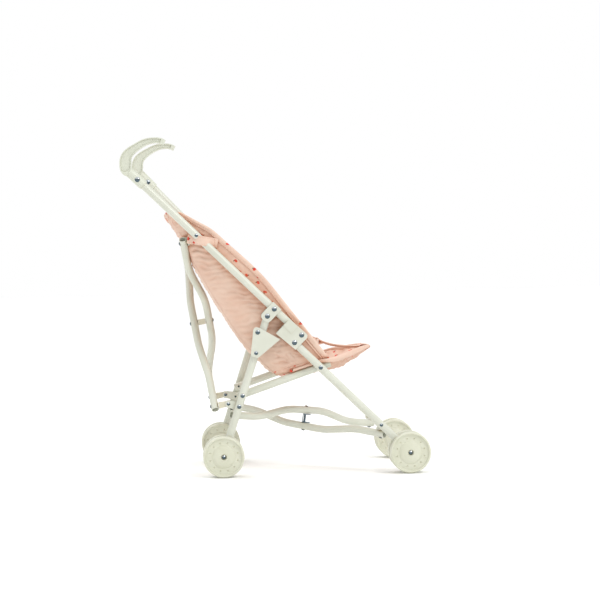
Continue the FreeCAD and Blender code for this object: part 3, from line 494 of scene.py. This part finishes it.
# --- the sling's pattern, in the Y-Z plane ---
FRONT_EDGE = [(-83, 182), (-75, 192), (-27.5, 253), (22.2, 316), (74, 365.5), (99.5, 388.8),
              (118, 400), (139.5, 412.5), (150, 419)]
BACK_EDGE = [(-1, 157), (47, 207), (85, 264.5), (122, 330), (142, 375), (168.5, 418)]
FRONT_X = [92, 97, 101, 102, 102, 102, 102, 101, 99]
BACK_X = [91, 88, 86, 86, 87, 89]
ROWS, WING_COLUMNS, BACK_COLUMNS, TONGUE_ROWS = 84, 25, 44, 22
STRIP_COLUMNS = 2 * WING_COLUMNS + BACK_COLUMNS - 1
RAIL_END, TONGUE_LENGTH = -84, 76      # the tongue starts at the rails' ends
TONGUE_HALF = [(-84, 91), (-92, 85), (-105, 71), (-117, 56), (-133, 38), (-146, 23), (-153, 14),
               (-160, 8)]
TONGUE_EDGE_Z = [(-84, 181), (-92, 180.5), (-105, 182.5), (-117, 185), (-133, 190.8), (-146, 194.2),
                 (-160, 196)]
TONGUE_SAG = [(-160, 0), (-150, 2), (-138, 4), (-118, 6), (-98, 5), (-84, 1)]
SEAT_SAG = [(-84, 1), (-70, 6), (-50, 13), (-20, 12), (-1, 2)]
UNDER_EDGE_Z = TONGUE_EDGE_Z[::-1] + [(-40, 170), (-10, 160)]
UNDER_SAG = [(-160, 1), (-148, 7), (-140, 11.5), (-129, 13), (-118, 15.3), (-99, 20.3), (-84, 21),
             (-50, 19), (-10, 6)]
LEFT_LIFT = [(-160, 0), (-140, 2.5), (-120, 4), (-98, 4), (-84, 0)]    # the left edge sits higher
BACK_SAG = -4.0            # how far the back's middle stands off its edges; negative is forward
WING_BOW = 2.5             # how far a wing's middle bows outward
TOP_DIP = 5.0              # how far the back's top edge dips at its middle
PUCKERS = [(-17.5, 186, 24), (-58, 199, 20)]      # y, z and reach of the gathered spots
PUCKER_HEIGHT = 2.3
CLOTH_THICKNESS, LINING_THICKNESS = 0.0011, 0.0009


def profile(table, at):
    """A value read off a short table of (y, value) pairs."""
    ordered = sorted(table)
    return float(np.interp(at, [p[0] for p in ordered], [p[1] for p in ordered]))


def sling_points():
    """The strip of wings and back at rest, row by row from below, and its flat coordinates."""
    front = smooth_line([(y, z, x) for (y, z), x in zip(FRONT_EDGE, FRONT_X)], ROWS)
    back = smooth_line([(y, z, x) for (y, z), x in zip(BACK_EDGE, BACK_X)], ROWS)
    spine = distances(back)
    verts, flat = [], []

    def wing_point(i, j, side):
        t = j / (WING_COLUMNS - 1)
        y, z, x = front[i] * (1 - t) + back[i] * t
        x += WING_BOW * math.sin(math.pi * t) ** 2
        width = np.linalg.norm(front[i] - back[i])
        verts.append((side * x, y, z))
        flat.append((side * (back[i][2] + width * (1 - t)), spine[i]))

    def back_point(i, j):
        share, t = i / (ROWS - 1), 2 * j / BACK_COLUMNS - 1
        up_y, up_z = unit(back[min(i + 1, ROWS - 1)][:2] - back[max(i - 1, 0)][:2])
        sag = BACK_SAG * (1 - abs(t) ** 2.6)
        sag *= 0.35 + 0.65 * math.sin(math.pi * min(1, share * 1.05 + 0.12))
        y, z = back[i][:2] + np.array([up_z, -up_y]) * sag
        z -= TOP_DIP * (1 - t * t) * max(0, share - 0.9) * 10
        verts.append((t * back[i][2], y, z))
        flat.append((t * back[i][2], spine[i]))

    for i in range(ROWS):
        for j in range(WING_COLUMNS):
            wing_point(i, j, RIGHT)
        for j in range(1, BACK_COLUMNS):
            back_point(i, j)
        for j in reversed(range(WING_COLUMNS)):
            wing_point(i, j, LEFT)
    return verts, flat


def sling_cloth():
    """The whole sling's vertices, flat coordinates, faces, seat faces and held vertices."""
    verts, flat = sling_points()
    columns = STRIP_COLUMNS
    faces = grid_faces(ROWS, columns)
    first_back = WING_COLUMNS - 1
    held = set()
    # the seat runs forward from the back's lowest row, between the wings' lowest rows
    previous = list(range(first_back, first_back + BACK_COLUMNS + 1))
    seat_faces = []
    for row in range(1, WING_COLUMNS + TONGUE_ROWS):
        current = []
        for j in range(BACK_COLUMNS + 1):
            t = 2 * j / BACK_COLUMNS - 1
            if row < WING_COLUMNS:
                edge = WING_COLUMNS - 1 - row
                if j in (0, BACK_COLUMNS):
                    current.append(edge if j == 0 else columns - 1 - edge)
                    continue
                x, y, z = verts[edge]
                sag = profile(SEAT_SAG, y) * (1 - abs(t) ** 2.3)
                point = (t * abs(x), y, z - sag)
            else:
                share = (row - WING_COLUMNS + 1) / TONGUE_ROWS
                y = RAIL_END - share ** 0.92 * TONGUE_LENGTH
                sag = profile(TONGUE_SAG, y) * (1 - abs(t) ** 2.3)
                lift = profile(LEFT_LIFT, y) * max(t, 0)
                point = (t * profile(TONGUE_HALF, y), y, profile(TONGUE_EDGE_Z, y) + lift - sag)
            current.append(len(verts))
            verts.append(point)
            flat.append(point[:2])
        for j in range(BACK_COLUMNS):
            seat_faces.append((previous[j], current[j], current[j + 1], previous[j + 1]))
        previous = current
        if row >= WING_COLUMNS - 2:
            held.update((current[0], current[-1]))
        if row > WING_COLUMNS + TONGUE_ROWS - 5:
            held.update(current)
    for i in range(ROWS):
        for j in (0, 1, 2, WING_COLUMNS - 1):
            held.update((i * columns + j, (i + 1) * columns - 1 - j))
    held.update(range(WING_COLUMNS))
    held.update(range(columns - WING_COLUMNS, columns))
    return verts, flat, faces, seat_faces, held


def drape(piece, held, growth, gravity, frames, stiffness, limit):
    """Lets the cloth settle with its held vertices fixed, then keeps the settled shape."""
    group = piece.vertex_groups.new(name="held")
    group.add(sorted(held), 1.0, "REPLACE")
    before = np.array([v.co[:] for v in piece.data.vertices])
    cloth = piece.modifiers.new("cloth", "CLOTH")
    settings = cloth.settings
    settings.quality = 5
    settings.mass = 0.12
    settings.tension_stiffness = stiffness
    settings.compression_stiffness = stiffness
    settings.shear_stiffness = stiffness / 3
    settings.bending_stiffness = 0.02
    settings.air_damping = 2.0
    settings.vertex_group_mass = "held"
    settings.shrink_min = -growth
    settings.effector_weights.gravity = gravity
    cloth.collision_settings.use_collision = False
    cloth.point_cache.frame_end = frames
    for number in range(1, frames + 1):
        scene.frame_set(number)
    applied(piece)
    scene.frame_set(1)
    after = np.array([v.co[:] for v in piece.data.vertices])
    move = after - before
    size = np.linalg.norm(move, axis=1)
    scale = np.where(size > limit, limit / np.maximum(size, 1e-9), 1.0)
    settled = before + move * scale[:, None]
    for vertex, place in zip(piece.data.vertices, settled):
        vertex.co = place


def split(piece, keep_face, name, materials):
    """A new piece from the faces of a mesh for which keep_face(face index) holds."""
    mesh = bpy.data.meshes.new(name)
    work = bmesh.new()
    work.from_mesh(piece.data)
    work.faces.ensure_lookup_table()
    bmesh.ops.delete(work, geom=[f for f in work.faces if not keep_face(f.index)], context="FACES")
    work.to_mesh(mesh)
    work.free()
    mesh.materials.clear()
    return link(name, mesh, materials)


def thicken(piece, thickness, far_material=0):
    """Gives a sheet its thickness. Its far side has the material that many slots on."""
    solid = piece.modifiers.new("thickness", "SOLIDIFY")
    solid.thickness = thickness
    solid.offset = 0.0
    solid.use_even_offset = True
    solid.material_offset = far_material
    solid.material_offset_rim = 0
    return applied(piece)


def slackness(count):
    """How freely each vertex of the sling may ripple: none along its seams and edges."""
    columns = STRIP_COLUMNS
    amounts = [0.0] * count
    for i in range(ROWS):
        for j in range(columns):
            edge = min(j, columns - 1 - j)
            if edge < WING_COLUMNS:
                across = min(max(edge - 3, 0) / 5, max(WING_COLUMNS - 1 - edge, 0) / 3, 1.0)
            else:
                across = min((edge - WING_COLUMNS + 1) / 5, 1.0)
            amounts[i * columns + j] = across * min(i / 6, (ROWS - 1 - i) / 8, 1.0)
    seat_rows = WING_COLUMNS + TONGUE_ROWS - 1
    for row in range(WING_COLUMNS - 1):
        for j in range(BACK_COLUMNS - 1):
            number = ROWS * columns + row * (BACK_COLUMNS - 1) + j
            amounts[number] = min(j / 4, (BACK_COLUMNS - 2 - j) / 4, row / 5, 1.0)
    first = ROWS * columns + (WING_COLUMNS - 1) * (BACK_COLUMNS - 1)
    for number in range(first, count):
        row, j = divmod(number - first, BACK_COLUMNS + 1)
        ahead = (seat_rows - WING_COLUMNS - row) / 6
        amounts[number] = max(0.0, min(j / 4, (BACK_COLUMNS - j) / 4, ahead, 1.0))
    return amounts


RIPPLE = 0.0092            # crest to crest
RIPPLE_HEIGHT = 0.0016


def ripple(piece, vertical=True, gathered=False):
    """Presses fine wavy creases into a settled sheet, as thin cotton gets under slack."""
    finer = piece.modifiers.new("finer", "SUBSURF")
    finer.levels = 1
    finer.render_levels = 1
    applied(piece)
    mesh = piece.data
    slack = mesh.attributes["slack"].data
    moves = []
    for vertex, amount in zip(mesh.vertices, slack):
        x, y, z = vertex.co
        warp = 0.0075 * noise.noise(Vector((x * 30, y * 34, z * 34)))
        warp += 0.0022 * noise.noise(Vector((x * 90, y * 110, z * 110)) + Vector((7, 1, 3)))
        along = (z + 0.12 * y if vertical else y + 0.2 * z) + warp
        wave = math.sin(2 * math.pi * along / RIPPLE)
        wave += 0.5 * math.sin(2 * math.pi * (along + 0.4 * y) / (RIPPLE * 1.7) + 1.3)
        strength = 0.35 + 0.9 * abs(noise.noise(Vector((x * 18, y * 20, z * 20)) + Vector((2, 9, 4))))
        crumple = noise.noise(Vector((x * 55, y * 60, z * 60)) + Vector((4, 4, 8)))
        low = max(0.0, min(1.0, (0.245 - z) / 0.05))
        height = RIPPLE_HEIGHT * (wave * strength * (1 - 0.6 * low) + crumple * (0.5 + 1.7 * low))
        for spot_y, spot_z, reach in (PUCKERS if gathered else ()):
            away = math.hypot(y / MM - spot_y, z / MM - spot_z) / reach
            crease = noise.noise(Vector((y * 75 + z * 25, z * 150 - y * 55, x * 20 + spot_y)))
            crease = 1 - min(abs(crease) * 5.5, 1.0)
            height += PUCKER_HEIGHT * MM * crease * math.exp(-away * away)
        moves.append(vertex.co + vertex.normal * height * amount.value)
    for vertex, place in zip(mesh.vertices, moves):
        vertex.co = place


def underside():
    """The seat's lower layer, which sags below the rails and the tongue."""
    rows, columns = 40, 33
    verts, flat = [], []
    for i in range(rows):
        y = -10 - 149 * (i / (rows - 1))
        half = profile(TONGUE_HALF, y) - 3.5 if y < RAIL_END else 87.0
        for j in range(columns):
            t = 2 * j / (columns - 1) - 1
            drop = profile(UNDER_SAG, y) * (1 - abs(t) ** 2.2)
            fold = 0.8 * noise.noise(Vector((t * 3, y * 0.05, 5.0)))
            verts.append((t * (half - 0.5) * MM, y * MM,
                          (profile(UNDER_EDGE_Z, y) - 0.9 - drop + fold * (1 - abs(t))) * MM))
            flat.append((t * half * MM + 0.011, (y * MM) * 1.05))
    mesh = bpy.data.meshes.new("seat_underside")
    mesh.from_pydata(verts, [], grid_faces(rows, columns))
    set_flat(mesh, flat)
    slack = mesh.attributes.new("slack", "FLOAT", "POINT")
    for number in range(len(verts)):
        i, j = divmod(number, columns)
        slack.data[number].value = min(i / 4, (rows - 1 - i) / 4, j / 4, (columns - 1 - j) / 4, 1.0)
    piece = link("seat_underside", mesh, [FADED_COTTON])
    cut = flat_cut(mesh)
    ripple(piece, False)
    return thicken(piece, LINING_THICKNESS), cut


def flat_cut(mesh):
    """The width, length and area of a piece as cut, from its flat coordinates."""
    uv = mesh.uv_layers["cloth"].data
    points = np.array([corner.uv[:] for corner in uv])
    area = 0.0
    for face in mesh.polygons:
        x, y = points[list(face.loop_indices)].T
        area += abs(np.dot(x, np.roll(y, 1)) - np.dot(y, np.roll(x, 1))) / 2
    width, length = np.ptp(points, axis=0)
    return (round(float(width), 3), round(float(length), 3)), round(float(area), 5)


def make_sling():
    """Drapes the sling, parts it into its cut pieces and returns them, the strip's points and cuts."""
    verts, flat, strip_faces, seat_faces, held = sling_cloth()
    mesh = bpy.data.meshes.new("sling")
    mesh.from_pydata([(x * MM, y * MM, z * MM) for x, y, z in verts], [], strip_faces + seat_faces)
    set_flat(mesh, [(u * MM, v * MM) for u, v in flat])
    for face in mesh.polygons[len(strip_faces):]:       # the seat is cut to its own plan
        for corner in face.loop_indices:
            place = mesh.vertices[mesh.loops[corner].vertex_index].co
            mesh.uv_layers["cloth"].data[corner].uv = place.xy
    sling = link("sling", mesh, [])
    slack = sling.data.attributes.new("slack", "FLOAT", "POINT")
    for vertex, amount in enumerate(slackness(len(verts))):
        slack.data[vertex].value = amount
    drape(sling, held, growth=0.016, gravity=0.25, frames=22, stiffness=12.0, limit=0.005)
    wing_faces = WING_COLUMNS - 1

    def owner(face):
        """The name of the cut piece that a face of the sling belongs to."""
        if face >= len(strip_faces):
            return "seat_panel"
        column = face % (STRIP_COLUMNS - 1)
        if column < wing_faces:
            return "right_wing"
        return "back_panel" if column < STRIP_COLUMNS - 1 - wing_faces else "left_wing"

    pieces, cuts = {}, {}
    for name in ("right_wing", "left_wing", "back_panel", "seat_panel"):
        is_seat = name == "seat_panel"
        materials = [PRINTED_COTTON] if is_seat else [PRINTED_COTTON, PLAIN_COTTON]
        piece = split(sling, lambda face: owner(face) == name, name, materials)
        cuts[name] = flat_cut(piece.data)
        ripple(piece, not is_seat, "wing" in name)
        thicken(piece, CLOTH_THICKNESS, 0 if is_seat else 1)
        pieces[name] = piece
    points = np.array([v.co[:] for v in sling.data.vertices])
    rows = points[:ROWS * STRIP_COLUMNS].reshape(ROWS, STRIP_COLUMNS, 3)
    bpy.data.objects.remove(sling)
    return pieces, rows, cuts


def surface_normals(rows):
    """The unit normal at each point of a grid of points."""
    return unit(np.cross(np.gradient(rows, axis=0), np.gradient(rows, axis=1)))


SEAM_INSET = 0.0018        # from a tape's inner edge to its stitches


def edge_band(name, rows, row_normals, width, thick, seed, materials, lip=1.0):
    """A folded tape sewn over an edge of the cloth. Each row of points runs inward from the edge.

    width is one number or one for each row; lip is how much fuller its inner edge is.
    """
    widths = np.broadcast_to(width, len(rows))
    draw = random.Random(seed)
    phases = [draw.uniform(0, 6.28) for _ in range(4)]
    verts, flat, seams = [], [], ([], [])
    travelled = 0.0
    for i, (row, normal_row) in enumerate(zip(rows, row_normals)):
        if i:
            travelled += np.linalg.norm(rows[i][0] - rows[i - 1][0])
        pucker = 1 + 0.22 * math.sin(travelled * 900 + phases[0]) * math.sin(
            travelled * 310 + phases[1]) + 0.12 * math.sin(travelled * 150 + phases[2])
        run = distances(row)
        out = unit(row[0] - read_along(run, row, 0.003))
        width = widths[i]
        section = []
        for share, fullness in ((1.0, 0.8 * lip), (0.96, lip), (0.86, lip), (0.7, 1.0), (0.5, 1.0),
                                (0.3, 1.0), (0.05, 1.0)):
            swell = thick / 2 * fullness * (pucker if 0.1 < share < 0.8 else 1.0)
            section.append((share * width, swell))
        section += [(-0.5 * thick, thick * 0.36), (-0.75 * thick, 0.0)]
        section += [(d, -h) for d, h in reversed(section[:-1])]
        for d, h in section:
            place = read_along(run, row, max(d, 0.0)) - out * min(d, 0.0)
            normal = unit(read_along(run, normal_row, max(d, 0.0)))
            verts.append(place + normal * h)
            flat.append((d + 0.013 * seed, travelled + 0.005 * seed))
        place = read_along(run, row, width - SEAM_INSET)
        normal = unit(read_along(run, normal_row, width - SEAM_INSET))
        for seam, way in zip(seams, (1, -1)):
            seam.append((place + normal * way * thick * 0.52, normal * way))
    around = len(section)
    faces = grid_faces(len(rows), around, wrap=True)
    last = (len(rows) - 1) * around
    faces += [tuple(reversed(range(around))), tuple(range(last, last + around))]
    mesh = bpy.data.meshes.new(name)
    mesh.from_pydata([tuple(v) for v in verts], [], faces)
    set_flat(mesh, flat)
    piece = link(name, mesh, materials)
    smooth = piece.modifiers.new("smooth", "SUBSURF")
    smooth.levels = 1
    smooth.render_levels = 1
    applied(piece)
    sewn = [stitches(f"{name}_stitches_{number}", [p for p, _ in seam], [n for _, n in seam])
            for number, seam in enumerate(seams)]
    return [piece] + sewn


# --- straps, belt, tongue tip and seat roll ---
HINGE_POINT = np.array([-40.37, 221.47]) * MM
HANDLE_ANGLE = {RIGHT: math.radians(44.5), LEFT: math.radians(46.4)}
LEG_PLANE = 0.110
TUBE_RADIUS = 0.006
STRAP_HEIGHT = 0.3725
STRAP_WIDTH = 0.015


def strap(side):
    """The tape that ties the sling's top corner round the handle tube, sewn to the binding."""
    angle = HANDLE_ANGLE[side]
    centre_y = HINGE_POINT[0] + (STRAP_HEIGHT - HINGE_POINT[1]) / math.tan(angle)
    centre = np.array([side * LEG_PLANE, centre_y, STRAP_HEIGHT])
    way = np.array([0, -0.986, -0.167])
    tube_way = np.array([0, math.cos(angle), math.sin(angle)])
    skew = math.sqrt(1 - np.dot(way, tube_way) ** 2)
    reach_x, reach_way = TUBE_RADIUS + 0.0009, (TUBE_RADIUS + 0.0006) / skew
    stops = [(-0.0235, -0.0066), (-0.0205, -0.0050), (-0.0172, -0.0032), (-0.0140, -0.0010)]
    stops += [(-reach_way * math.cos(math.radians(a)), reach_x * math.sin(math.radians(a)))
              for a in (28, 50, 70, 90, 110, 130, 150)]
    stops += [(0.0135, -0.0012), (0.0175, -0.0052), (0.0215, -0.0064), (0.025, -0.0066)]
    line = smooth_line([centre + way * along + np.array([side * out, 0, 0])
                        for along, out in stops], 70)
    upright = np.cross(np.array([side, 0, 0]), way)
    faces_out = unit(np.cross(directions(line), upright))
    name = SIDE_NAMES[side]
    tape = ribbon(f"{name}_strap", line, faces_out, STRAP_WIDTH, 0.0011, [PRINTED_COTTON], 0.0003)
    sewn = []
    for number, share in enumerate((0.40, -0.40)):
        offset = upright * STRAP_WIDTH * share
        sewn.append(stitches(f"{name}_strap_stitches_{number}",
                             line[2:-2] + offset + faces_out[2:-2] * 0.0006, faces_out[2:-2]))
    end, end_normal = line[-7], faces_out[-7]
    rung = [end + upright * STRAP_WIDTH * t + end_normal * 0.0007 for t in np.linspace(-0.4, 0.4, 9)]
    sewn.append(stitches(f"{name}_strap_tack", rung, [end_normal] * len(rung)))
    return [tape] + sewn


BELT_POINTS = [(-97.5, -59, 210), (-70, -66.5, 207.5), (-35, -71.5, 206.2), (0, -73, 205.8)]


def belt():
    """The lap belt, a soft folded tape from wing to wing."""
    points = BELT_POINTS + [(-x, y, z) for x, y, z in reversed(BELT_POINTS[:-1])]
    line = smooth_line(points, 110) * MM
    ahead = directions(line)
    facing = unit(np.cross(ahead, UPWARD))
    tape = ribbon("lap_belt_tape", line, facing, 0.0085, 0.0021, [PRINTED_COTTON], 0.0004, 0.00025)
    across = np.cross(facing, ahead)
    seam = stitches("lap_belt_stitches", line[2:-2] + across[2:-2] * 0.0029
                    + facing[2:-2] * 0.0012, facing[2:-2])
    return [tape, seam]


CROTCH_POINTS = [(-82, 202.2), (-75, 201), (-68.5, 203), (-68.5, 209), (-73, 210.5),
                 (-78.5, 206.4), (-88, 202.8), (-100, 199.6), (-118, 197.2), (-137, 196.6),
                 (-148, 197.2)]


def crotch_strap():
    """The strap from the lap belt down to the tongue's tip, looped round the belt."""
    line = smooth_line([(0, y, z) for y, z in CROTCH_POINTS], 100) * MM
    facing = np.cross(SIDEWAYS, directions(line))
    tape = ribbon("crotch_strap_tape", line, facing, 0.014, 0.0036, [PRINTED_COTTON], 0.0012, 0.0002)
    sewn = []
    for number, way in enumerate((1, -1)):
        offset = np.array([way * 0.0046, 0, 0])
        sewn.append(stitches(f"crotch_strap_stitches_{number}",
                             line[38:-6] + offset + facing[38:-6] * 0.0026, facing[38:-6]))
    return [tape] + sewn


TIP_SECTION = [(-140, 193), (-143, 190.2), (-150, 190.6), (-157, 193.6), (-158, 195.6),
               (-154.5, 198.4), (-149, 199.4), (-142.5, 198.8), (-140.5, 196.8)]


def tongue_tip():
    """The folded end of the tongue, sewn over the crotch strap."""
    line = smooth_line([(0, y, z) for y, z in TIP_SECTION], 60) * MM
    facing = np.cross(SIDEWAYS, directions(line))
    widths = np.interp(line[:, 1], [-0.1605, -0.150, -0.140], [0.019, 0.030, 0.040])
    tape = ribbon("tongue_tip_fold", line, facing, widths, 0.0015, [PRINTED_COTTON])
    rung = [np.array([t, -0.1442, 0.2004]) for t in np.linspace(-0.0115, 0.0115, 14)]
    return [tape, stitches("tongue_tip_stitches", rung, [UPWARD] * len(rung))]


ROLL_STEPS = 190
ROLL_POINTS = [(-97, -22, 163), (-97.5, -50, 172.5), (-99.5, -70, 178.3), (-101, -82, 179.6),
               (-93, -92.5, 180.2), (-74, -105, 182.6), (-57, -117.5, 185.6), (-39, -133, 190.6),
               (-23, -146, 194.2), (-11, -153.5, 195.6), (0, -156, 196)]


def seat_roll():
    """The stuffed roll along the seat's edge: above the rails, then round the tongue."""
    points = ROLL_POINTS + [(-x, y, z + (profile(LEFT_LIFT, y) if y < RAIL_END else 0))
                            for x, y, z in reversed(ROLL_POINTS[:-1])]
    line = smooth_line(points, ROLL_STEPS) * MM
    ahead = directions(line)
    facing = unit(np.cross(ahead, UPWARD))
    steps = np.arange(ROLL_STEPS)
    ends = np.minimum(steps, ROLL_STEPS - 1 - steps)
    height = np.interp(ends, [0, 28, 44, 78, 94], [0.0042, 0.0060, 0.0088, 0.0078, 0.0050])
    roll = ribbon("seat_roll", line, facing, height, 0.0066, [PRINTED_COTTON], 0.0, 0.0003)
    across = np.cross(facing, ahead)
    drop = across * (height * 0.5 - 0.0012)[:, None]
    seam = stitches("seat_roll_stitches", (line - drop * np.sign(across[:, 2:3])
                                           - facing * 0.0026)[3:-3], -facing[3:-3])
    return [roll, seam]


LEVER_STOP = (0.0290, 0.2275)      # y and z of the chrome stud at the lever's upper corner
LEVER_FACE = 0.1211
STUD_OUTLINE = [(3.75, -0.2), (3.75, 0.25), (3.6, 0.75), (3.2, 1.3), (2.6, 1.75), (1.8, 2.1),
                (0.9, 2.28), (0.0, 2.32)]       # radius and height over the lever's face


def lever_stud(side):
    """The plated domed stud at the lever's upper corner."""
    verts, around = [], 40
    for radius, height in STUD_OUTLINE:
        for k in range(around):
            angle = 2 * math.pi * k / around
            verts.append((side * (LEVER_FACE + height * MM),
                          LEVER_STOP[0] + radius * MM * math.cos(angle),
                          LEVER_STOP[1] + radius * MM * math.sin(angle)))
    faces = grid_faces(len(STUD_OUTLINE), around, wrap=True)
    faces.append(tuple(range(around)))
    mesh = bpy.data.meshes.new(f"{SIDE_NAMES[side]}_lever_stud")
    mesh.from_pydata(verts, [], faces)
    work = bmesh.new()
    work.from_mesh(mesh)
    bmesh.ops.remove_doubles(work, verts=work.verts, dist=1e-6)
    bmesh.ops.recalc_face_normals(work, faces=work.faces)
    work.to_mesh(mesh)
    work.free()
    piece = link(mesh.name, mesh, [STEEL])
    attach(piece, f"{SIDE_NAMES[side]}_lever")


# --- putting it together ---
FACING_WIDTHS = [(0, 9), (0.15, 11), (0.35, 18), (0.55, 22), (0.7, 20), (0.85, 16), (1, 9)]
FACING_LIP = 1.7


def dress(piece, body, folds=False):
    """Puts a piece of the sling on its body; the pieces between the sides get a mesh of their own."""
    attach(piece, body)
    if folds:
        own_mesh(piece)


for side in (RIGHT, LEFT):
    lever_stud(side)

pieces, sling_rows, cuts = make_sling()
normals = surface_normals(sling_rows)
for side in (RIGHT, LEFT):
    name = SIDE_NAMES[side]
    order = slice(None) if side == RIGHT else slice(None, None, -1)
    wing_rows = sling_rows[:, order][:, :WING_COLUMNS]
    wing_normals = normals[:, order][:, :WING_COLUMNS]
    facing_widths = np.interp(np.linspace(0, 1, ROWS), *zip(*FACING_WIDTHS)) * MM
    trims = edge_band(f"{name}_facing", wing_rows, wing_normals, facing_widths, 0.0026,
                      12 + side, [PRINTED_COTTON], FACING_LIP)
    trims += edge_band(f"{name}_binding", wing_rows, wing_normals, 0.0062, 0.0046,
                       2 + side, [PRINTED_COTTON])
    hem_rows = wing_rows.transpose(1, 0, 2)[2:]
    hem_normals = wing_normals.transpose(1, 0, 2)[2:]
    trims += edge_band(f"{name}_lower_hem", hem_rows, hem_normals, 0.008, 0.0022,
                       5 + side, [PRINTED_COTTON])
    trims += strap(side)
    wing = pieces[f"{name}_wing"]
    for piece in [wing] + trims:
        dress(piece, f"{name}_handle")
    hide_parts(f"{name}_side_wing")

centre_columns = slice(WING_COLUMNS - 1, WING_COLUMNS + BACK_COLUMNS)
top_rows = sling_rows[::-1, centre_columns].transpose(1, 0, 2)
top_normals = normals[::-1, centre_columns].transpose(1, 0, 2)
back_trims = edge_band("back_top_hem", top_rows, top_normals, 0.009, 0.0024, 9, [PRINTED_COTTON])
for piece in [pieces["back_panel"]] + back_trims:
    dress(piece, "right_handle", folds=True)
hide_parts("seat_back")

lining, lining_cut = underside()
roll, roll_seam = seat_roll()
belt_pieces, strap_pieces, tip_pieces = belt(), crotch_strap(), tongue_tip()
seat_trims = [roll_seam] + tip_pieces
for piece in [pieces["seat_panel"], lining, roll] + seat_trims + belt_pieces + strap_pieces:
    dress(piece, "right_rail", folds=True)
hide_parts("seat_base", "front_flap")
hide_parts("lap_belt")
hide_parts("crotch_strap")
